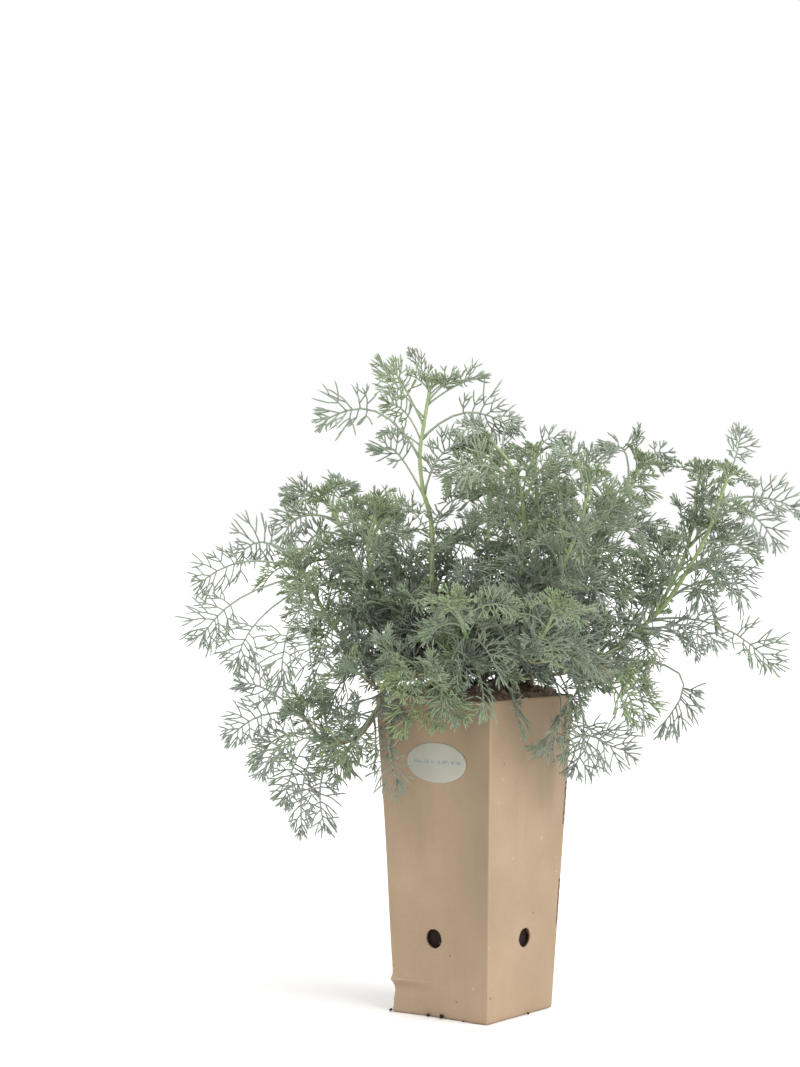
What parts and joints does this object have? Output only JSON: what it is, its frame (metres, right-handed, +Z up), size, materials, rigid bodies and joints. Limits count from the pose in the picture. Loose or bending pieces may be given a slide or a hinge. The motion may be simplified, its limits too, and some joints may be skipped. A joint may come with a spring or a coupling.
{
  "type": "potted southernwood plant",
  "caption": "Feathery grey-green southernwood clump standing in potting soil in a tall square tapered cardboard pot",
  "frame": {"origin": "middle of the pot's underside, where it stands", "axes": "+Z up along the pot and the plant, -Y out of the pot face that carries the label, +X out of the face to its right"},
  "size_m": [0.3263, 0.285, 0.4192],
  "materials": {
    "pot_board": "matte",
    "label_paper": "matte",
    "soil": "matte",
    "foliage": "satin"
  },
  "bodies": {
    "root": {"cardboard_pot": "pot_board", "plant_label": "label_paper", "potting_soil": "soil", "leafy_stem_tall": "foliage", "leafy_stem_centre_left": "foliage", "leafy_stem_centre": "foliage", "leafy_stem_centre_right": "foliage", "leafy_stem_right_upper": "foliage", "leafy_stem_right_main": "foliage", "leafy_stem_right_low": "foliage", "leafy_stem_left_trailing": "foliage", "leafy_stem_left_middle": "foliage", "leafy_stem_left_upper": "foliage", "leafy_stem_left_inner": "foliage", "leafy_stem_front_left": "foliage", "leafy_stem_front_centre": "foliage", "leafy_stem_front_right": "foliage", "leafy_stem_back_left": "foliage", "leafy_stem_back_centre": "foliage", "leafy_stem_back_right": "foliage"}
  },
  "joints": []
}
